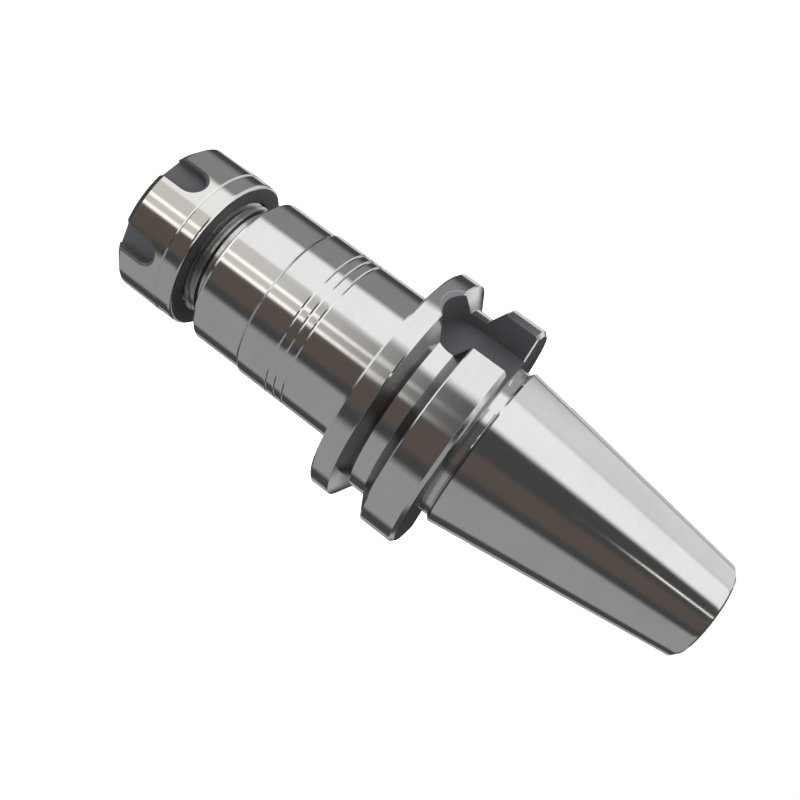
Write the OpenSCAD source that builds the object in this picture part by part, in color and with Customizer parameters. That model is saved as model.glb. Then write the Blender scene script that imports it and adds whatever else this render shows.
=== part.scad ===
// Collet chuck holder with a 7/24 taper shank, a spring collet and its clamping nut.
// The part stands on the nut's front face: Z = 0 is that face, +Z runs to the taper's
// small end, and +X runs through the middle of one drive slot. Millimetres.

/* [Overall] */
// Distance from the nut's front face to the gauge plane of the taper
projection = 98.5; // [90:0.5:150]

/* [Taper shank] */
// Diameter of the taper at the gauge plane
gauge_d = 44.45; // [43.5:0.05:45]
// Length of the shank behind the gauge plane
shank_len = 65.4; // [60:0.2:70]
// Chamfer on the small end of the taper
shank_chamfer = 1.4; // [0.6:0.1:2]
// How far the relief neck lies below the taper at the gauge plane
neck_drop = 1.2; // [0.6:0.1:1.6]
// Length of the relief neck, measured from the flange
neck_len = 2.3; // [1.5:0.1:3]

/* [Drawbar bore] */
// Nominal diameter of the drawbar thread
drawbar_d = 16; // [14:0.5:18]
// Diameter of the pilot bore in front of the drawbar thread
pilot_d = 17; // [16.5:0.1:20]
// Depth of the pilot bore
pilot_len = 8; // [5:0.5:10]
// Length of the drawbar thread beyond the pilot bore
drawbar_len = 24; // [18:1:30]
// Chamfer at the mouth of the pilot bore
pilot_chamfer = 0.8; // [0.3:0.1:1.2]
// Diameter of the passage that joins the two ends of the holder
passage_d = 12; // [6:0.5:13]

/* [Flange] */
// Outside diameter of the flange
flange_d = 63; // [60:0.5:66]
// Width of the flange
flange_w = 25; // [24:0.5:28]
// Gap between the gauge plane and the flange
flange_gap = 2; // [1.6:0.1:3]
// Chamfer on the rim's edge next to the taper
rim_chamfer = 1; // [0.4:0.1:1.5]
// Chamfer on the rim's edge next to the body
front_rim_chamfer = 0.5; // [0.2:0.1:1.2]
// Chamfer on the rim's two edges at the gripper groove
rim_break = 0.2; // [0.1:0.1:0.8]
// Distance from the gauge plane to the middle of the gripper groove
groove_pos = 16.6; // [15.5:0.1:17.5]
// Width of the gripper groove at the rim
groove_mouth = 10; // [9:0.1:11]
// Diameter at the bottom of the gripper groove
groove_root_d = 53; // [52:0.5:56]
// Angle between the two flanks of the gripper groove
groove_angle = 60; // [56:1:64]

/* [Drive slots] */
// Width of a drive slot
drive_w = 16.1; // [14:0.1:18]
// Distance from the axis to the floor of a drive slot
drive_floor = 22.6; // [22.3:0.1:24]
// Distance from the gauge plane to the round end of a drive slot
drive_end = 23.4; // [21:0.2:25]
// Chamfer at the middle of that round end
drive_chamfer = 1.05; // [0.4:0.05:1.3]
// Chamfer on a drive slot's two walls where they meet the flange's rear face
drive_mouth_chamfer = 0.5; // [0.2:0.1:1]

/* [Body] */
// Diameter of the body next to the flange
body_d = 42.2; // [40:0.2:44]
// Diameter of the front of the body
front_d = 41.2; // [38:0.2:42]
// Length of the front of the body
front_len = 14.8; // [10:0.2:18]
// Chamfer on the front edge of the body
front_chamfer = 0.9; // [0.4:0.1:1.4]
// Chamfer on the step between the two body diameters
step_chamfer = 0.45; // [0.1:0.05:0.45]
// Fillet between the body and the flange
body_fillet = 2; // [1:0.2:3]
// Number of fine lines turned round the body
line_count = 3; // [1:1:4]
// Distance from the step to the first fine line
line_start = 9.25; // [5:0.25:12]
// Distance from one fine line to the next
line_pitch = 2.5; // [1.5:0.1:3]
// Width of a fine line
line_w = 0.6; // [0.2:0.05:0.8]
// Depth of a fine line
line_depth = 0.14; // [0.06:0.02:0.4]

/* [Nose thread] */
// Nominal diameter of the thread on the nose
thread_d = 32; // [31:0.5:34]
// Pitch of the thread on the nose
thread_pitch = 1.5; // [1:0.25:2]
// Length of the nose that shows between the nut and the body
nose_show = 6.5; // [4:0.5:9]
// Distance from the nut's front face to the end of the nose
nose_set = 8; // [7.8:0.1:9]
// Width of the thread undercut at the body
undercut_w = 2; // [1:0.1:3]
// How far the undercut lies below the root of the thread
undercut_drop = 0.3; // [0.1:0.1:0.6]
// Chamfer at the end of the nose
nose_chamfer = 0.5; // [0.2:0.1:0.8]

/* [Collet] */
// Largest diameter of the collet
collet_d = 26; // [25.6:0.1:26.4]
// Length of the collet
collet_len = 34; // [30:0.5:38]
// Bore of the collet
collet_bore = 16; // [4:0.5:16]
// Distance from the nut's front face to the collet's front face
collet_set = 0.6; // [0.2:0.1:1]
// Angle of the collet's front cone to the axis
head_angle = 30; // [28:1:32]
// Length of the collet's front cone
head_cone = 3.3; // [3:0.1:3.6]
// Length of the plain band behind the front cone
head_band = 0.8; // [0.5:0.1:0.9]
// Width of the extraction groove
catch_w = 3.1; // [2.9:0.1:3.4]
// Diameter at the bottom of the extraction groove
catch_d = 22.4; // [21.5:0.1:22.6]
// Diameter of the long cone where it leaves the extraction groove
seat_d = 25.6; // [25:0.1:25.8]
// Angle of the long cone to the axis
seat_angle = 8; // [7.5:0.25:8.25]
// Width of a slit
slit_w = 0.6; // [0.3:0.1:1]
// Number of slits from each end
slit_count = 8; // [4:1:8]
// Wall left uncut at the closed end of each slit
slit_stop = 5; // [3:0.5:8]
// Chamfer at both mouths of the collet's bore
collet_chamfer = 0.4; // [0.2:0.1:0.6]

/* [Nut] */
// Outside diameter of the nut
nut_d = 42.2; // [41:0.2:46]
// Length of the nut
nut_len = 18.5; // [17:0.5:22]
// Chamfer on the nut's front edge
nut_chamfer = 2; // [1:0.1:2.6]
// Radius on the nut's rear edge
nut_round = 0.9; // [0.4:0.1:1.4]
// Distance from the front face to the line turned round the nut
seam_pos = 13.7; // [12.9:0.1:15]
// Width of that line
seam_w = 0.7; // [0.3:0.1:0.9]
// Depth of that line
seam_depth = 0.35; // [0.1:0.05:0.5]
// How much thinner the nut is behind that line, on the radius
rear_drop = 0.1; // [0.05:0.05:0.3]
// Chamfer at the front mouth of the nut
mouth_chamfer = 0.5; // [0.3:0.1:0.8]
// Distance from the front face to the extraction lip
lip_pos = 5.2; // [5:0.1:5.4]
// Thickness of the extraction lip
lip_w = 1.4; // [1:0.1:1.6]
// Diameter of the hole in the extraction lip
lip_d = 24.6; // [24.4:0.1:24.8]
// How far that hole lies off the axis
lip_offset = 0.9; // [0.8:0.05:0.95]
// Distance from the front face to the start of the nut's thread
nut_thread_pos = 8.6; // [8.2:0.1:10]
// Length of the nut's thread
nut_thread_len = 9; // [7:0.5:9.5]
// Diameter of the relief in front of the nut's thread
nut_relief_d = 32.6; // [32.4:0.1:33]
// Diameter of the nut's rear mouth
nut_mouth_d = 32.8; // [32.4:0.2:34]

/* [Spanner slots] */
// Number of spanner slots in the nut
spanner_count = 6; // [3:1:6]
// Width of a spanner slot
spanner_w = 6.7; // [5:0.1:8]
// Length of a spanner slot from the nut's front face
spanner_len = 10.8; // [9:0.1:11.4]
// Distance from the axis to the floor of a spanner slot
spanner_floor = 18.1; // [17.5:0.1:19.5]
// Depth below the nut's outside at which the chamfer round a spanner slot begins
spanner_chamfer = 0.85; // [0.5:0.05:1]
// Turn of the first spanner slot from the drive slot
spanner_turn = 17.2; // [0:0.1:60]

/* [Clearances] */
// Gap between the crest of one thread and the root of the other, on the radius
thread_clear = 0.08; // [0.02:0.01:0.1]
// Gap between the collet and the cone of the holder, and between collet and nut
cone_clear = 0.04; // [0.02:0.01:0.1]
// Gap between the collet's band and the chamber of the nut, on the radius
band_clear = 0.3; // [0.25:0.05:0.5]

/* [Hidden] */
// Facets on round faces
$fn = 96;
// Overrun of a cutting shape past the face that it opens
cut = 1;

// The taper loses 7 mm of diameter in 24 mm of length
taper_slope = 7 / 24 / 2;
// A metric thread's minor diameter is the nominal one less this many pitches
minor_pitches = 1.0825;
// Half of a drill's point angle, which closes a drilled bore
drill_half = 59;

// Heights of the holder's faces
gauge_z = projection;
small_end_z = gauge_z + shank_len;
flange_top_z = gauge_z - flange_gap;
flange_low_z = flange_top_z - flange_w;
neck_z = flange_top_z + neck_len;
groove_z = gauge_z - groove_pos;
body_front_z = nut_len + nose_show;
step_z = body_front_z + front_len;

// Radii of the holder
neck_r = gauge_d / 2 - neck_drop;
neck_step = (neck_drop - taper_slope * (neck_z - gauge_z)) / (1 + taper_slope);
small_end_r = gauge_d / 2 - taper_slope * shank_len;
nut_minor_r = (thread_d - minor_pitches * thread_pitch) / 2;
nose_r = nut_minor_r - thread_clear;
groove_depth = (flange_d - groove_root_d) / 2;
groove_root_w = groove_mouth - 2 * groove_depth * tan(groove_angle / 2);

// Heights of the collet's edges
head_z = collet_set + head_cone;
catch_z = head_z + head_band;
seat_z = catch_z + catch_w;
collet_top_z = collet_set + collet_len;

// Radii of the collet
collet_r = collet_d / 2;
face_r = collet_r - head_cone * tan(head_angle);
collet_top_r = seat_r(collet_top_z);
chamber_r = collet_r + band_clear;

// Radius of the collet's long cone at a height, and of the holder's cone round it
function seat_r(z) = seat_d / 2 - (z - seat_z) * tan(seat_angle);
function socket_r(z) = seat_r(z) + cone_clear / cos(seat_angle);

// Radius of the nut's cone at a height, set off the collet's front cone
function nut_cone_r(z) = face_r + (z - collet_set) * tan(head_angle) + cone_clear / cos(head_angle);
function nut_cone_z(r) = collet_set + (r - face_r - cone_clear / cos(head_angle)) / tan(head_angle);

// Outline of the holder from the end of the nose to the taper's small end
module holder_outline() {
    polygon([
        [0, nose_set],
        [nose_r - nose_chamfer, nose_set],
        [nose_r, nose_set + nose_chamfer],
        [nose_r, body_front_z - undercut_w],
        [nose_r - undercut_drop, body_front_z - undercut_w + undercut_drop],
        [nose_r - undercut_drop, body_front_z],
        [front_d / 2 - front_chamfer, body_front_z],
        [front_d / 2, body_front_z + front_chamfer],
        [front_d / 2, step_z],
        [body_d / 2 - step_chamfer, step_z],
        [body_d / 2, step_z + step_chamfer],
        [body_d / 2, flange_low_z],
        [flange_d / 2 - front_rim_chamfer, flange_low_z],
        [flange_d / 2, flange_low_z + front_rim_chamfer],
        [flange_d / 2, flange_top_z - rim_chamfer],
        [flange_d / 2 - rim_chamfer, flange_top_z],
        [neck_r, flange_top_z],
        [neck_r, neck_z],
        [neck_r + neck_step, neck_z + neck_step],
        [small_end_r + taper_slope * shank_chamfer, small_end_z - shank_chamfer],
        [small_end_r - shank_chamfer, small_end_z],
        [0, small_end_z]
    ]);
}

// Concave fillet in the corner between the body and the flange
module fillet_outline() {
    translate([body_d / 2, flange_low_z - body_fillet]) difference() {
        square(body_fillet);
        translate([body_fillet, 0]) circle(body_fillet);
    }
}

// Section of the gripper groove, with a small chamfer at each rim
module groove_outline() {
    reach = cut * tan(groove_angle / 2);
    mouth = groove_mouth / 2;
    edge = mouth - rim_break * tan(groove_angle / 2);
    translate([flange_d / 2, groove_z]) {
        polygon([
            [-groove_depth, -groove_root_w / 2],
            [cut, -mouth - reach],
            [cut, mouth + reach],
            [-groove_depth, groove_root_w / 2]
        ]);
        polygon([
            [-rim_break, -edge],
            [cut, -edge - rim_break - cut],
            [cut, edge + rim_break + cut],
            [-rim_break, edge]
        ]);
    }
}

// Section of one fine line
module line_outline() {
    translate([body_d / 2, 0]) polygon([
        [-line_depth, 0],
        [cut, -line_w / 2 - cut],
        [cut, line_w / 2 + cut]
    ]);
}

// Section of everything bored out of the holder
module bore_outline() {
    socket_end_z = collet_top_z + cut;
    end_r = socket_r(socket_end_z);
    passage_z = socket_end_z + (end_r - passage_d / 2) / tan(drill_half);
    pilot_z = small_end_z - pilot_len;
    thread_end_z = pilot_z - drawbar_len;
    drill_z = thread_end_z - (drawbar_d - passage_d) / 2 / tan(drill_half);
    polygon([
        [0, nose_set - cut],
        [socket_r(nose_set) + nose_chamfer + cut, nose_set - cut],
        [socket_r(nose_set), nose_set + nose_chamfer],
        [end_r, socket_end_z],
        [passage_d / 2, passage_z],
        [passage_d / 2, drill_z],
        [drawbar_d / 2, thread_end_z],
        [drawbar_d / 2, pilot_z],
        [pilot_d / 2, pilot_z],
        [pilot_d / 2, small_end_z - pilot_chamfer],
        [pilot_d / 2 + pilot_chamfer + cut, small_end_z + cut],
        [0, small_end_z + cut]
    ]);
}

// A slot cutter lying on the plane X = floor, open towards +Y of its outline
module round_slot(width, floor_x, reach, end_z, open_z) {
    side = sign(open_z - end_z);
    centre_z = end_z + side * width / 2;
    translate([floor_x, 0, 0]) rotate([90, 0, 90]) linear_extrude(reach - floor_x) {
        translate([0, centre_z]) circle(width / 2);
        translate([-width / 2, min(centre_z, open_z)]) square([width, abs(open_z - centre_z)]);
    }
}

// Cone that chamfers the round end of a slot, from a depth below the outside radius outwards
module slot_end_cone(width, depth, outside_r, centre_z) {
    translate([outside_r - depth, 0, centre_z]) rotate([0, 90, 0])
        cylinder(h = depth + cut, r1 = width / 2, r2 = width / 2 + depth + cut);
}

// Wedge that chamfers a drive slot's walls at the flange's rear face
module slot_mouth_wedge() {
    low_z = flange_top_z - drive_mouth_chamfer;
    wide = drive_w / 2 + drive_mouth_chamfer + cut;
    translate([drive_floor, 0, 0]) rotate([90, 0, 90]) linear_extrude(flange_d / 2 + cut - drive_floor)
        polygon([
            [-drive_w / 2, low_z],
            [-wide, flange_top_z + cut],
            [wide, flange_top_z + cut],
            [drive_w / 2, low_z]
        ]);
}

module holder_body() {
    color([0.62, 0.62, 0.60]) difference() {
        rotate_extrude() difference() {
            union() {
                holder_outline();
                fillet_outline();
            }
            groove_outline();
            for (i = [0 : line_count - 1])
                translate([0, step_z + line_start + i * line_pitch]) line_outline();
        }
        rotate_extrude() bore_outline();
        for (turn = [0, 180])
            rotate([0, 0, turn]) {
                round_slot(drive_w, drive_floor, flange_d / 2 + cut, gauge_z - drive_end, flange_top_z + cut);
                slot_end_cone(drive_w, drive_chamfer, flange_d / 2, gauge_z - drive_end + drive_w / 2);
                slot_mouth_wedge();
            }
    }
}

// Outline of the nut, with the turned line and the rounded rear edge
module nut_outline() {
    rear_r = nut_d / 2 - rear_drop;
    difference() {
        union() {
            polygon([
                [0, 0],
                [nut_d / 2 - nut_chamfer, 0],
                [nut_d / 2, nut_chamfer],
                [nut_d / 2, seam_pos],
                [rear_r, seam_pos],
                [rear_r, nut_len - nut_round],
                [rear_r - nut_round, nut_len - nut_round],
                [rear_r - nut_round, nut_len],
                [0, nut_len]
            ]);
            translate([rear_r - nut_round, nut_len - nut_round]) intersection() {
                circle(nut_round);
                square(nut_round);
            }
        }
        translate([nut_d / 2, seam_pos]) polygon([
            [-seam_depth, 0],
            [cut, -seam_w / 2 - cut],
            [cut, seam_w / 2 + cut]
        ]);
    }
}

// Section of the nut's chamber, relief, thread bore and rear mouth
module nut_bore_outline() {
    mouth_r = nut_cone_r(mouth_chamfer);
    minor_r = nut_minor_r;
    thread_end_z = nut_thread_pos + nut_thread_len;
    lead_in = nut_relief_d / 2 - minor_r;
    mouth_step = nut_mouth_d / 2 - minor_r;
    polygon([
        [0, -cut],
        [mouth_r + mouth_chamfer + cut, -cut],
        [mouth_r, mouth_chamfer],
        [chamber_r, nut_cone_z(chamber_r)],
        [chamber_r, lip_pos],
        [0, lip_pos]
    ]);
    polygon([
        [0, lip_pos + lip_w],
        [nut_relief_d / 2, lip_pos + lip_w],
        [nut_relief_d / 2, nut_thread_pos - lead_in],
        [minor_r, nut_thread_pos],
        [minor_r, thread_end_z - mouth_step],
        [nut_mouth_d / 2, thread_end_z],
        [nut_mouth_d / 2, nut_len + cut],
        [0, nut_len + cut]
    ]);
}

// Cutter for a spanner slot's chamfer: a cone at the round end and a wedge along both sides
module spanner_edges() {
    low_x = nut_d / 2 - spanner_chamfer;
    reach = spanner_chamfer + cut;
    half = spanner_w / 2;
    centre_z = spanner_len - half;
    slot_end_cone(spanner_w, spanner_chamfer, nut_d / 2, centre_z);
    translate([low_x, 0, -cut]) linear_extrude(centre_z + cut) polygon([
        [0, -half],
        [reach, -half - reach],
        [reach, half + reach],
        [0, half]
    ]);
}

module clamping_nut() {
    color([0.72, 0.70, 0.66]) difference() {
        rotate_extrude() nut_outline();
        rotate_extrude() nut_bore_outline();
        translate([lip_offset, 0, lip_pos - cut / 2])
            cylinder(h = lip_w + cut, d = lip_d);
        for (i = [0 : spanner_count - 1])
            rotate([0, 0, spanner_turn + i * 360 / spanner_count]) {
                round_slot(spanner_w, spanner_floor, nut_d / 2 + cut, spanner_len, -cut);
                spanner_edges();
            }
    }
}

// Outline of the collet: front cone, band, extraction groove and long cone
module collet_outline() {
    wall = catch_w / 6;
    polygon([
        [collet_bore / 2 + collet_chamfer, collet_set],
        [face_r, collet_set],
        [collet_r, head_z],
        [collet_r, catch_z],
        [catch_d / 2, catch_z + wall],
        [catch_d / 2, seat_z - wall],
        [seat_d / 2, seat_z],
        [collet_top_r, collet_top_z],
        [collet_bore / 2 + collet_chamfer, collet_top_z],
        [collet_bore / 2, collet_top_z - collet_chamfer],
        [collet_bore / 2, collet_set + collet_chamfer]
    ]);
}

module spring_collet() {
    color([0.55, 0.55, 0.56]) difference() {
        rotate_extrude() collet_outline();
        for (i = [0 : slit_count - 1]) {
            rotate([0, 0, i * 360 / slit_count])
                translate([0, -slit_w / 2, collet_set - cut])
                    cube([collet_d, slit_w, collet_len - slit_stop + cut]);
            rotate([0, 0, (i + 0.5) * 360 / slit_count])
                translate([0, -slit_w / 2, collet_set + slit_stop])
                    cube([collet_d, slit_w, collet_len - slit_stop + cut]);
        }
    }
}

holder_body();
clamping_nut();
spring_collet();
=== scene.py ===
"""Looks of the collet chuck holder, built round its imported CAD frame."""
import math

import bpy
import numpy as np
from mathutils import Matrix, Vector


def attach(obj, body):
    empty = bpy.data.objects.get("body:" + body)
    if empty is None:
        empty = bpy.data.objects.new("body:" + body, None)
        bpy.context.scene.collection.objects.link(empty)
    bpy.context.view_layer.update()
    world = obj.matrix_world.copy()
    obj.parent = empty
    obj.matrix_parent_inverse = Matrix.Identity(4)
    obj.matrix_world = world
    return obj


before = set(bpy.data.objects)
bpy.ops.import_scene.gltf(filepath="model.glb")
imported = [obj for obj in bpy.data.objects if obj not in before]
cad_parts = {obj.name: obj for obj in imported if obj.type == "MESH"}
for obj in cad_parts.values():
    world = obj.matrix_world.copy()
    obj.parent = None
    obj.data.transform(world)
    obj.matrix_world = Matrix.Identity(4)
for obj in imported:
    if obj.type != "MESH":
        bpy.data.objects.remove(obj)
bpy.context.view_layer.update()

MM = 0.001

# The camera of the photograph, in the part's own frame
EYE = Vector((0.16471, 0.16820, 0.11485))
AIM = Vector((-0.00193, 0.00194, 0.07658))
ROLL = math.radians(126.84)
LENS_MM = 43.63
SENSOR_MM = 36.0
CAMERA_SIDE = 45.6          # degrees round the axis from +X to the camera

# All lengths below are in millimetres: heights from the nut's front face, radii from the axis

# The flange and its gripper groove
FLANGE_RADIUS = 31.5
GROOVE_LOW = 76.85
GROOVE_HIGH = 86.95
GROOVE_ROOT = 26.5
GROOVE_FADE_OUT = 1.8       # the shade of the lower flank ends this far inside the rim
GROOVE_FADE_IN = 0.6        # and is full this near to the root
GROOVE_LOWER = 0.65         # how dark the lower flank gets, next to the upper one

# The two drive slots of the holder
DRIVE_HALF = 8.05           # half their width
DRIVE_FLOOR = 22.6
DRIVE_LOW = 75.1            # height of the round end
DRIVE_MIDDLE = DRIVE_LOW + DRIVE_HALF
DRIVE_END_WIDTH = 1.4       # room for the chamfer round that end: past the slot
DRIVE_END_DEPTH = 1.2       # and in from the rim

# The six spanner slots of the nut: the first lies this many degrees from +X
SPANNER_FIRST = 17.2
SPANNER_COUNT = 6
SPANNER_HALF = 3.35
SPANNER_LEN = 10.8
SPANNER_FLOOR = 18.1
SPANNER_FLARE = 20.25       # radius past which a slot's chamfer widens it
NO_FLARE = 99.0             # for a slot that stays as wide as it is

# How far a mask reaches past a slot's wall and floor, so that it holds them, and how far it stays clear
# of the flange's round faces, so that it leaves them out
WALL_SPARE = 0.03
FLOOR_SPARE = 0.05
FACE_SPARE = 0.04
RIM_SPARE = 0.06

# Narrow bands of the holder that stay sharp: lowest and highest height, least radius, and the sine of
# their tilt to +Z
CRISP_BANDS = (
    (25.25, 26.02, 19.6, -.42),                                 # front chamfer of the body
    (39.74, 40.45, 20.2, -.66),                                 # step between its two diameters
    (48.73, 49.05, 19.0, .42), (49.05, 49.47, 19.0, -.42),      # the two flanks of each fine line
    (51.23, 51.55, 19.0, .42), (51.55, 51.97, 19.0, -.42),
    (53.73, 54.05, 19.0, .42), (54.05, 54.47, 19.0, -.42),
    (71.45, 72.05, 30.9, -.42),                                 # front chamfer of the flange
    (76.66, 76.98, 31.2, .35), (86.78, 87.18, 31.2, -.48),      # the groove's two broken edges
    (96.40, 96.62, 21.2, .966),                                 # rear face of the flange
    (98.80, 99.25, 20.8, -.10), (99.25, 99.86, 20.8, -.42),     # shoulder of the relief neck
    (162.45, 163.88, 11.8, .165),                               # chamfer of the small end
)

# The two threads: root and crest radius, start and end height, and pitch
NOSE_THREAD = (15.05, 15.95, 8.4, 23.2, 1.5)
DRAWBAR_THREAD = (8.05, 6.92, 131.9, 155.9, 2.0)
THREAD_FLAT = 0.125         # width of a thread's crest as a share of its pitch
THREAD_FLANK = math.radians(30)
THREAD_STEPS = 72           # sections of a ridge in one turn
THREAD_SUNK = 0.12          # how deep its foot stands in the metal that carries it
THREAD_RUN_OUT = 0.5        # turns over which it rises at each end
THREAD_LEAST = 0.02         # share of its height at the very end
THREAD_SHARP = math.radians(25)         # an edge that bends more than this isn't smoothed

# The nose of the holder ends this far past its thread, up the axis and outwards
NOSE_PAST = 1.7
NOSE_PROUD = 0.3
NUT_EDGE_SHADE = (0.85, 0.55)     # heights between which the nut's front chamfer is painted dark: a painted dark reflection at its edge

# The finishes: colour, or share of the metal's own colour, and roughness
OXIDE = (0.066, 0.067, 0.075, 1.0)      # black oxide in the slots
OXIDE_ROUGH = (0.42, 0.55)              # where it is clean, and where it is hazed
MILLED = (0.16, 0.16, 0.165, 1.0)       # dull milled chamfer at a drive slot's end
DULL_ROUGH = 0.22                       # the nose and the nut's front edge
GROOVE_SHADE_SHARE = 0.28                     # share of its colour that the flanks of the gripper groove keep: painted shade
GROOVE_ROUGH = 0.28
HAZE_SIZE = 11.0
HAZE_PATCHES = (0.42, 0.72)             # levels of its noise between which a cloudy patch comes up
HAZE_STREAKS = (0.45, 0.75)             # and a wiped streak
HAZE_DRAWN = (0.08, 0.08, 1.4)          # scale of the streaks' noise: long across the axis, short along it
HAZE_CLOUDY = 0.6                       # share of the patches in the haze
HAZE_LIGHT = 0.93                       # the haziest metal keeps this much of its colour
HAZE_ROUGH = 0.05                       # and is this much rougher
MARK_PITCH = 0.22                       # turning marks: width and height
MARK_HEIGHT = 0.0015
EDGE_RADIUS = 0.08                      # rounding of every edge
SQUARE_FACE = 0.985                     # least part along the axis in the normal of a face square to it

# Tints of what the bare metal mirrors
PLAIN = (1.0, 1.0, 1.0)
CREAM = (1.02, 1.0, 0.96)
WARM = (1.015, 1.0, 0.98)
BROWN = (1.09, 0.985, 0.93)

# The studio: a dim room with a few plain screens hung in it. Where two overlap, the later one is in front.
# Each screen: its middle in degrees round the axis from the camera's side, its width, the softness of its
# sides, its lowest and highest height in degrees, the softness of these, how light it looks, its tint.
ROOM_LIGHT = 0.25
SCREENS = {
    "grey_wall": (90, 70, 10, -90, 90, 10, 0.55, PLAIN),
    "side_wall": (-100, 50, 20, -90, 90, 10, 0.5, PLAIN),
    "upper_side_box": (-110, 70, 20, 0, 60, 20, 0.8, PLAIN),
    "key_box": (-52, 50, 10, -90, 80, 10, 0.9, PLAIN),
    "low_front_screen": (-10, 40, 4, -90, -12, 20, 0.75, WARM),
    "brown_curtain": (25, 30, 10, -50, 35, 10, 0.3, BROWN),
    "left_strip": (6, 5, 2, -50, -12, 15, 1.0, CREAM),
    "right_strip": (-8, 5, 2, -50, -12, 15, 1.0, CREAM),
    "high_strip": (-3, 3, 1, 24, 35, 4, 1.0, CREAM),
    "left_rim": (156, 12, 8, -40, 40, 10, 0.6, PLAIN),
    "right_rim": (-156, 12, 8, -40, 40, 10, 0.8, PLAIN),
    "table_sheet": (-30, 120, 30, -90, -60, 10, 0.95, PLAIN),
    "overhead_box": (-35, 110, 15, 38, 75, 8, 0.95, PLAIN),
}
FLOOR_DROP = 9.3            # from the nut's front face down to the floor: the nut travels 9 mm
FLOOR_SIDE = 6.0            # metres from the axis to the floor's edge
PAPER = (0.85, 0.85, 0.85, 1)
OVERHEAD_WIDTH = math.radians(100)
OVERHEAD_TILT = math.radians(15)
OVERHEAD_POWER = 1.6
MIRRORED = 1.28             # a screen is this much brighter than it looks in the metal, which dims it


def seen(light, tint):
    """Linear colour of a screen that looks this light (0 black to 1 white) in the picture.

    It is the display's own curve from looks to light, times MIRRORED, times the tint to the power 2.2.
    """
    linear = light / 12.92 if light < 0.04 else ((light + 0.055) / 1.055) ** 2.4
    return tuple(linear * MIRRORED * part ** 2.2 for part in tint) + (1.0,)


def darker(colour, share):
    """The colour with this share of its light, as a shader takes it."""
    return tuple(part * share for part in colour) + (1.0,)


def add(tree, kind, wires=None, **settings):
    """A node of a kind: settings are its properties, wires maps an input to a number, colour or output."""
    made = tree.nodes.new(kind)
    for name, value in settings.items():
        setattr(made, name, value)
    for name, value in (wires or {}).items():
        if isinstance(value, bpy.types.NodeSocket):
            tree.links.new(value, made.inputs[name])
        else:
            made.inputs[name].default_value = value
    return made


def maths(tree, step, first, second=0.0):
    """The output of one Math node."""
    return add(tree, "ShaderNodeMath", {0: first, 1: second}, operation=step).outputs[0]


def product(tree, first, *others):
    """All the factors multiplied; of masks it is 1 where every one is 1."""
    for other in others:
        first = maths(tree, "MULTIPLY", first, other)
    return first


def within(tree, value, low, high):
    """1 where the value lies between low and high."""
    return product(tree, maths(tree, "GREATER_THAN", value, low), maths(tree, "LESS_THAN", value, high))


def between(tree, value, low, high, start=0.0, end=1.0, ease="SMOOTHSTEP"):
    """The value's place between low and high as a number from start to end, eased and held at both."""
    wires = {"Value": value, "From Min": low, "From Max": high, "To Min": start, "To Max": end}
    return add(tree, "ShaderNodeMapRange", wires, interpolation_type=ease).outputs["Result"]


def mix(tree, share, first, second):
    """The colour that lies this share of the way from the first to the second."""
    return add(tree, "ShaderNodeMix", {0: share, 6: first, 7: second}, data_type="RGBA").outputs[2]


def finish_over(tree, mask, base, gloss, colour, roughness):
    """Colour and roughness of the metal, with another finish over it where the mask says so."""
    return mix(tree, mask, base, colour), between(tree, mask, 0.0, 1.0, gloss, roughness, "LINEAR")


def new_group(name, inputs, outputs):
    """An empty shader node group with these sockets, and its inner end nodes."""
    group = bpy.data.node_groups.new(name, "ShaderNodeTree")
    for title, kind, start in inputs:
        socket = group.interface.new_socket(title, in_out="INPUT", socket_type=kind)
        if start is not None:
            socket.default_value = start
    for title in outputs:
        group.interface.new_socket(title, in_out="OUTPUT", socket_type="NodeSocketFloat")
    return group, group.nodes.new("NodeGroupInput").outputs, group.nodes.new("NodeGroupOutput")


def turning_marks():
    """Fine rings left by the lathe and the grinding wheel: noise that changes with radius and height only.

    The noise is read at (radius / pitch, height / pitch), so it is the same all the way round the axis.
    """
    inputs = [("Radius", "NodeSocketFloat", 0.0), ("Height", "NodeSocketFloat", 0.0),
              ("Pitch", "NodeSocketFloat", MARK_PITCH)]
    group, given, out = new_group("turning_marks", inputs, ["Lines"])
    across = maths(group, "DIVIDE", given["Radius"], given["Pitch"])
    along = maths(group, "DIVIDE", given["Height"], given["Pitch"])
    spot = add(group, "ShaderNodeCombineXYZ", {0: across, 1: along, 2: 0.0})
    grain = {"Vector": spot.outputs[0], "Scale": 1.0, "Detail": 3.0, "Roughness": 0.65}
    noise = add(group, "ShaderNodeTexNoise", grain, noise_dimensions="2D")
    group.links.new(noise.outputs["Fac"], out.inputs["Lines"])
    return group


def handling_haze():
    """Faint cloudy patches and wiped streaks that hands and oil leave on bright metal.

    Each is a noise eased between two of its own levels, the streaks' noise being drawn out across the axis.
    The haze is the share c of the patches and 1 - c of the streaks, c being HAZE_CLOUDY.
    """
    inputs = [("Place", "NodeSocketVector", None), ("Size", "NodeSocketFloat", HAZE_SIZE)]
    group, given, out = new_group("handling_haze", inputs, ["Haze"])
    size = maths(group, "DIVIDE", 1.0, given["Size"])
    grain = {"Vector": given["Place"], "Scale": size, "Detail": 4.0, "Roughness": 0.6}
    cloud = add(group, "ShaderNodeTexNoise", grain)
    patches = between(group, cloud.outputs["Fac"], *HAZE_PATCHES)
    pulled = add(group, "ShaderNodeMapping", {"Vector": given["Place"], "Scale": HAZE_DRAWN})
    grain = {"Vector": pulled.outputs[0], "Scale": 1.0, "Detail": 5.0, "Roughness": 0.7}
    wiped = add(group, "ShaderNodeTexNoise", grain)
    streaks = between(group, wiped.outputs["Fac"], *HAZE_STREAKS)
    both = maths(group, "ADD", product(group, patches, HAZE_CLOUDY), product(group, streaks, 1 - HAZE_CLOUDY))
    group.links.new(both, out.inputs["Haze"])
    return group


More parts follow.
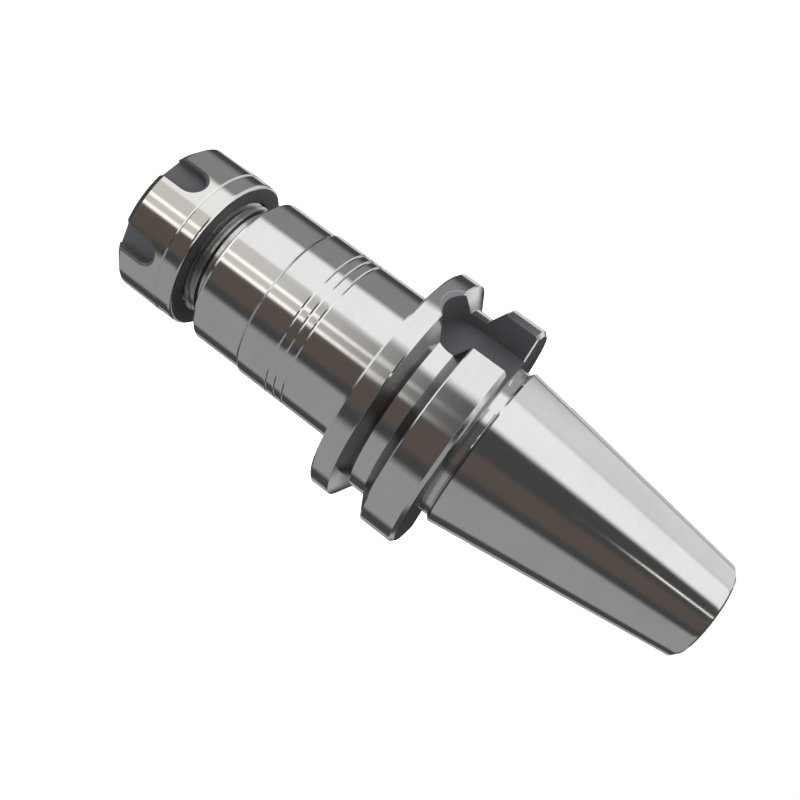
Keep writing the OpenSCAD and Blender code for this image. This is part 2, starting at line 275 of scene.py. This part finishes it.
def add_camera():
    """The photograph's camera: it looks from EYE to AIM, turned about its own axis by ROLL."""
    data = bpy.data.cameras.new("camera")
    data.sensor_width = SENSOR_MM
    data.lens = LENS_MM
    data.clip_start = 0.01
    data.clip_end = 20.0
    camera = bpy.data.objects.new("camera", data)
    turn = (AIM - EYE).to_track_quat("-Z", "Y").to_matrix().to_4x4()
    camera.matrix_world = Matrix.Translation(EYE) @ turn @ Matrix.Rotation(ROLL, 4, "Z")
    bpy.context.scene.collection.objects.link(camera)
    bpy.context.scene.camera = camera


def screen_mask(tree, azimuth, height, middle, width, side_soft, low, high, end_soft):
    """1 on a screen and 0 off it, eased over its softness at each edge.

    Round the axis it is the distance from the screen's middle, the short way round, compared with half the
    width; in height it is the lesser of how far the point is above the low edge and below the high one.
    """
    turn = maths(tree, "FRACT", maths(tree, "ADD", maths(tree, "DIVIDE", azimuth, 360.0), 0.5 - middle / 360.0))
    away = maths(tree, "MULTIPLY", maths(tree, "ABSOLUTE", maths(tree, "SUBTRACT", turn, 0.5)), 360.0)
    across = between(tree, away, (width - side_soft) / 2, (width + side_soft) / 2, 1.0, 0.0)
    over = 1.0 if low <= -90 else between(tree, height, low - end_soft / 2, low + end_soft / 2)
    under = 1.0 if high >= 90 else between(tree, height, high - end_soft / 2, high + end_soft / 2, 1.0, 0.0)
    return product(tree, across, over, under)


def add_world():
    """A dim room with screens in it, which the camera itself sees as plain white.

    A direction's place round the axis is atan2(y, x) in degrees, counted from the camera's side, and its
    height is asin z in degrees.
    """
    world = bpy.data.worlds.new("studio")
    world.use_nodes = True
    bpy.context.scene.world = world
    tree = world.node_tree
    tree.nodes.clear()
    direction = add(tree, "ShaderNodeTexCoord").outputs["Generated"]
    axes = add(tree, "ShaderNodeSeparateXYZ", {0: direction})
    azimuth = maths(tree, "DEGREES", maths(tree, "ARCTAN2", axes.outputs["Y"], axes.outputs["X"]))
    azimuth = maths(tree, "SUBTRACT", azimuth, CAMERA_SIDE)
    height = maths(tree, "DEGREES", maths(tree, "ARCSINE", axes.outputs["Z"]))
    colour = seen(ROOM_LIGHT, PLAIN)
    for *place, light, tint in SCREENS.values():
        colour = mix(tree, screen_mask(tree, azimuth, height, *place), colour, seen(light, tint))
    room = add(tree, "ShaderNodeBackground", {"Color": colour, "Strength": 1.0})
    paper = add(tree, "ShaderNodeBackground", {"Color": (1, 1, 1, 1), "Strength": 1.0})
    looks = add(tree, "ShaderNodeLightPath").outputs["Is Camera Ray"]
    both = add(tree, "ShaderNodeMixShader", {0: looks, 1: room.outputs[0], 2: paper.outputs[0]})
    add(tree, "ShaderNodeOutputWorld", {"Surface": both.outputs[0]})


def new_material(name):
    """An empty node material and its Principled shader."""
    material = bpy.data.materials.new(name)
    material.use_nodes = True
    tree = material.node_tree
    tree.nodes.clear()
    shader = add(tree, "ShaderNodeBsdfPrincipled")
    add(tree, "ShaderNodeOutputMaterial", {"Surface": shader.outputs[0]})
    return material, tree, shader


def add_floor():
    """A pale paper floor, low enough for the nut to come off its thread; from below it is clear."""
    side, depth = FLOOR_SIDE, -FLOOR_DROP * MM
    mesh = bpy.data.meshes.new("floor")
    corners = [(-side, -side, depth), (side, -side, depth), (side, side, depth), (-side, side, depth)]
    mesh.from_pydata(corners, [], [(0, 1, 2, 3)])
    floor = bpy.data.objects.new("floor", mesh)
    bpy.context.scene.collection.objects.link(floor)
    material, tree, shader = new_material("paper_floor")
    shader.inputs["Base Color"].default_value = PAPER
    shader.inputs["Roughness"].default_value = 0.9
    shader.inputs["Specular IOR Level"].default_value = 0.0
    shader.inputs["Emission Color"].default_value = (1, 1, 1, 1)
    shader.inputs["Emission Strength"].default_value = 1.0
    below = add(tree, "ShaderNodeNewGeometry").outputs["Backfacing"]
    clear = add(tree, "ShaderNodeBsdfTransparent")
    both = add(tree, "ShaderNodeMixShader", {0: below, 1: shader.outputs[0], 2: clear.outputs[0]})
    tree.links.new(both.outputs[0], tree.get_output_node("ALL").inputs["Surface"])
    mesh.materials.append(material)
    floor.visible_glossy = False


def add_overhead_light():
    """One broad soft light above, which only the floor and the matt surfaces feel."""
    data = bpy.data.lights.new("overhead", "SUN")
    data.angle = OVERHEAD_WIDTH
    data.energy = OVERHEAD_POWER
    light = bpy.data.objects.new("overhead", data)
    light.rotation_euler = (-OVERHEAD_TILT, OVERHEAD_TILT, 0)
    light.visible_glossy = False
    bpy.context.scene.collection.objects.link(light)


def in_slot(tree, across, along, depth, half, middle, side, floor, flare=NO_FLARE):
    """1 inside a slot with one round end, as lengths in mm: across it, along it and out from the axis.

    The distance from the slot's middle line, where only lengths past the round end's centre count along
    it, is compared with half the width, which grows by one for one past the depth flare; depth is also
    compared with the slot's floor. side is 1 where the round end lies low on the axis and -1 where high.
    """
    past = product(tree, maths(tree, "SUBTRACT", along, middle), side)
    past = maths(tree, "MINIMUM", past, 0.0)
    square = maths(tree, "ADD", product(tree, across, across), product(tree, past, past))
    wider = maths(tree, "MAXIMUM", maths(tree, "SUBTRACT", depth, flare), 0.0)
    reach = maths(tree, "ADD", wider, half + WALL_SPARE)
    near = maths(tree, "LESS_THAN", maths(tree, "SQRT", square), reach)
    return product(tree, near, maths(tree, "GREATER_THAN", depth, floor - FLOOR_SPARE))


# Each of the following masks takes a point's three coordinates and its distance from the axis, in mm.

def drive_slots(tree, axes, radius):
    """The mask of the holder's two drive slots, which lie opposite each other."""
    depth = maths(tree, "ABSOLUTE", axes[0])
    return in_slot(tree, axes[1], axes[2], depth, DRIVE_HALF, DRIVE_MIDDLE, 1.0, DRIVE_FLOOR)


def drive_slot_ends(tree, axes, radius):
    """The mask of the chamfer round each drive slot's end, left as milled."""
    depth = maths(tree, "ABSOLUTE", axes[0])
    near = in_slot(tree, axes[1], axes[2], depth, DRIVE_HALF + DRIVE_END_WIDTH, DRIVE_MIDDLE, 1.0,
                   FLANGE_RADIUS - DRIVE_END_DEPTH)
    below = maths(tree, "LESS_THAN", radius, FLANGE_RADIUS - FACE_SPARE)
    return product(tree, below, near, maths(tree, "LESS_THAN", axes[2], GROOVE_LOW))


def groove_flank_shade(tree, axes, radius):
    """How far the gripper groove's flanks are painted darker: painted shade in the groove.

    The flank nearer the taper is so all over, the other one more and more towards its foot.
    """
    foot = between(tree, radius, FLANGE_RADIUS - GROOVE_FADE_OUT, GROOVE_ROOT + GROOVE_FADE_IN)
    far = maths(tree, "GREATER_THAN", axes[2], (GROOVE_LOW + GROOVE_HIGH) / 2)
    shade = maths(tree, "MAXIMUM", far, product(tree, foot, GROOVE_LOWER))
    return product(tree, shade, within(tree, axes[2], GROOVE_LOW, GROOVE_HIGH),
                   within(tree, radius, GROOVE_ROOT + FACE_SPARE, FLANGE_RADIUS - RIM_SPARE))


def spanner_slots(tree, axes, radius):
    """The mask of the nut's spanner slots: the turn round the axis is folded into one slot's share of it."""
    step = 2 * math.pi / SPANNER_COUNT
    turn = maths(tree, "ARCTAN2", axes[1], axes[0])
    turn = maths(tree, "SUBTRACT", turn, math.radians(SPANNER_FIRST) - step / 2 - 2 * math.pi)
    turn = maths(tree, "SUBTRACT", maths(tree, "MODULO", turn, step), step / 2)
    across = product(tree, radius, maths(tree, "SINE", turn))
    depth = product(tree, radius, maths(tree, "COSINE", turn))
    middle = SPANNER_LEN - SPANNER_HALF
    return in_slot(tree, across, axes[2], depth, SPANNER_HALF, middle, -1.0, SPANNER_FLOOR, SPANNER_FLARE)


def nose(tree, axes, radius):
    """The mask of the holder's nose, which carries the nut's thread; there the colour is painted darker, as
    painted shade between the nut and the body.
    """
    _, crest, _, high, _ = NOSE_THREAD
    low = maths(tree, "LESS_THAN", axes[2], high + NOSE_PAST)
    return product(tree, low, maths(tree, "LESS_THAN", radius, crest + NOSE_PROUD))


def nut_front_edge_shade(tree, axes, radius):
    """How near a point of the nut lies to the front face, 0 past its front chamfer and 1 on the face: there its
    colour is painted dark, a painted dark reflection.
    """
    return between(tree, axes[2], *NUT_EDGE_SHADE)


def end_faces(tree):
    """The mask of the faces square to the axis."""
    normal = add(tree, "ShaderNodeNewGeometry").outputs["True Normal"]
    up = add(tree, "ShaderNodeSeparateXYZ", {0: normal}).outputs[2]
    return maths(tree, "GREATER_THAN", maths(tree, "ABSOLUTE", up), SQUARE_FACE)


def crisp_bands(tree, axes, radius):
    """Narrow lathe-cut faces and broken edges that stay sharp: where they are, and their normal.

    The normal tilts along the axis by the band's own s, the sine of its tilt: (x c / r, y c / r, s), where
    c is the square root of 1 - s s.
    """
    there, along = 0.0, 0.0
    for low, high, least, tilt in CRISP_BANDS:
        inside = product(tree, within(tree, axes[2], low, high), maths(tree, "GREATER_THAN", radius, least))
        there = maths(tree, "ADD", there, inside)
        along = maths(tree, "ADD", along, product(tree, inside, tilt))
    outward = maths(tree, "SQRT", maths(tree, "SUBTRACT", 1.0, product(tree, along, along)))
    outward = maths(tree, "DIVIDE", outward, radius)
    parts = {0: product(tree, axes[0], outward), 1: product(tree, axes[1], outward), 2: along}
    return there, add(tree, "ShaderNodeCombineXYZ", parts).outputs[0]


def steel_finish(name, colour, roughness, slots=None, dull_and_shaded=None, milled=None, crisp=None, groove=None,
                 face_shade=0.26, faced=0.32, shade_share=0.85):
    """Bright lathe-cut or ground steel with turning marks, haze and rounded edges.

    The other finishes go over it one after another, each where its own mask says:
    - the faces square to the axis keep only a share of the colour, which is painted shade, and are as rough as
      faced says;
    - dull, a part not polished, is rougher, and keeps only a share of its colour, which is painted shade;
    - groove, the flanks of the gripper groove, are painted darker, as painted shade in the groove;
    - slots has black oxide, and milled, a chamfer beside them, is bare and matt.
    crisp gives the bands whose normal isn't rounded off.
    """
    material, tree, shader = new_material(name)
    place = add(tree, "ShaderNodeTexCoord").outputs["Object"]
    place = add(tree, "ShaderNodeVectorMath", {0: place, "Scale": 1 / MM}, operation="SCALE").outputs[0]
    axes = add(tree, "ShaderNodeSeparateXYZ", {0: place}).outputs
    square = maths(tree, "ADD", product(tree, axes[0], axes[0]), product(tree, axes[1], axes[1]))
    radius = maths(tree, "SQRT", square)
    wires = {"Radius": radius, "Height": axes[2], "Pitch": MARK_PITCH}
    lines = add(tree, "ShaderNodeGroup", wires, node_tree=MARKS).outputs["Lines"]
    wires = {"Place": place, "Size": HAZE_SIZE}
    haze = add(tree, "ShaderNodeGroup", wires, node_tree=HAZE).outputs["Haze"]
    normal = add(tree, "ShaderNodeBevel", {"Radius": EDGE_RADIUS * MM}, samples=4).outputs[0]
    if crisp:
        there, flank = crisp(tree, axes, radius)
        normal = add(tree, "ShaderNodeMix", {0: there, 4: normal, 5: flank}, data_type="VECTOR").outputs[1]
    wires = {"Strength": 1.0, "Distance": MARK_HEIGHT * MM, "Height": lines, "Normal": normal}
    bump = add(tree, "ShaderNodeBump", wires)
    tree.links.new(bump.outputs[0], shader.inputs["Normal"])
    base = mix(tree, haze, darker(colour, 1.0), darker(colour, HAZE_LIGHT))
    gloss = between(tree, haze, 0.0, 1.0, roughness, roughness + HAZE_ROUGH, "LINEAR")
    # Painted shade: the faces square to the axis are darkened in colour, and made rougher
    base, gloss = finish_over(tree, end_faces(tree), base, gloss, darker(colour, face_shade), faced)
    # Painted shade: the nose and the nut's front chamfer are painted darker, and made rougher
    if dull_and_shaded:
        mask = dull_and_shaded(tree, axes, radius)
        base, gloss = finish_over(tree, mask, base, gloss, darker(colour, shade_share), DULL_ROUGH)
    # Painted shade: the flanks of the gripper groove are painted darker, most of all towards the root
    if groove:
        mask = groove(tree, axes, radius)
        base, gloss = finish_over(tree, mask, base, gloss, darker(colour, GROOVE_SHADE_SHARE), GROOVE_ROUGH)
    if slots:
        black = slots(tree, axes, radius)
        sheen = between(tree, haze, 0.0, 1.0, *OXIDE_ROUGH, "LINEAR")
        base = mix(tree, black, base, OXIDE)
        if milled:
            bare = milled(tree, axes, radius)
            base = mix(tree, bare, base, MILLED)
            black = maths(tree, "MAXIMUM", black, bare)
        metal = maths(tree, "SUBTRACT", 1.0, black)
        gloss = maths(tree, "ADD", product(tree, gloss, metal), product(tree, sheen, black))
        tree.links.new(metal, shader.inputs["Metallic"])
    else:
        shader.inputs["Metallic"].default_value = 1.0
    tree.links.new(base, shader.inputs["Base Color"])
    tree.links.new(gloss, shader.inputs["Roughness"])
    return material


def thread_ridge(name, root, crest, low, high, pitch, finish):
    """One thread ridge: a section of six corners carried up a helix.

    At t turns from its start the section stands at the angle 2 pi t and the height low + pitch (t + 1/2).
    It is a trapezoid, as wide as THREAD_FLAT says at the crest's radius and wider by the flanks' slope at
    the root's, with a foot sunk into the metal. Its height runs out over the first and the last half turn,
    and its top widens there as the flanks do.
    """
    turns = (high - low) / pitch - 1.0
    count = int(turns * THREAD_STEPS) + 1
    share = np.linspace(0.0, turns, count)
    flat = pitch * THREAD_FLAT / 2
    foot = flat + abs(crest - root) * math.tan(THREAD_FLANK)
    fade = np.clip(np.minimum(share, turns - share) / THREAD_RUN_OUT, THREAD_LEAST, 1.0)
    sunk = np.full(count, root - THREAD_SUNK * np.sign(crest - root))
    base = np.full(count, root)
    top = root + (crest - root) * fade
    wide = np.full(count, foot)
    narrow = flat + (foot - flat) * (1 - fade)
    radii = np.stack([sunk, base, top, top, base, sunk], axis=1)
    offsets = np.stack([-wide, -wide, -narrow, narrow, wide, wide], axis=1)
    heights = low + pitch / 2 + share[:, None] * pitch + offsets
    angle = 2 * math.pi * share[:, None]
    points = np.stack([radii * np.cos(angle), radii * np.sin(angle), heights], axis=2).reshape(-1, 3) * MM
    corners = radii.shape[1]
    along, round_it = np.meshgrid(np.arange(count - 1), np.arange(corners), indexing="ij")
    following = (round_it + 1) % corners
    here, ahead = along * corners, (along + 1) * corners
    quads = np.stack([here + round_it, ahead + round_it, ahead + following, here + following], axis=2)
    quads = quads.reshape(-1, 4)
    if crest < root:
        quads = quads[:, ::-1]
    first = list(range(corners))
    last = [(count - 1) * corners + corner for corner in range(corners)]
    ends = [first, last[::-1]] if crest > root else [first[::-1], last]
    mesh = bpy.data.meshes.new(name)
    mesh.from_pydata(points.tolist(), [], quads.tolist() + ends)
    mesh.shade_smooth()
    mesh.set_sharp_from_angle(angle=THREAD_SHARP)
    mesh.materials.append(finish)
    ridge = bpy.data.objects.new(name, mesh)
    bpy.context.scene.collection.objects.link(ridge)
    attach(ridge, "holder")


bpy.context.scene.view_settings.view_transform = "Standard"
add_camera()
add_world()
add_floor()
add_overhead_light()

MARKS = turning_marks()
HAZE = handling_haze()
FINISH = {
    "holder_body": steel_finish("ground_steel", (0.78, 0.78, 0.78), 0.085, slots=drive_slots, dull_and_shaded=nose,
                                milled=drive_slot_ends, crisp=crisp_bands, groove=groove_flank_shade),
    # On the nut, painted shade darkens its end faces and paints a dark rim on its front chamfer
    "clamping_nut": steel_finish("nut_steel", (0.78, 0.77, 0.75), 0.075, slots=spanner_slots, dull_and_shaded=nut_front_edge_shade,
                                 face_shade=0.36, faced=0.6, shade_share=0.3),
    "spring_collet": steel_finish("collet_steel", (0.66, 0.66, 0.66), 0.16),
}
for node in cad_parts.values():
    for held in node.material_slots:
        held.material = FINISH[node.name]
thread_ridge("nose_thread", *NOSE_THREAD, FINISH["holder_body"])
thread_ridge("drawbar_thread", *DRAWBAR_THREAD, FINISH["holder_body"])
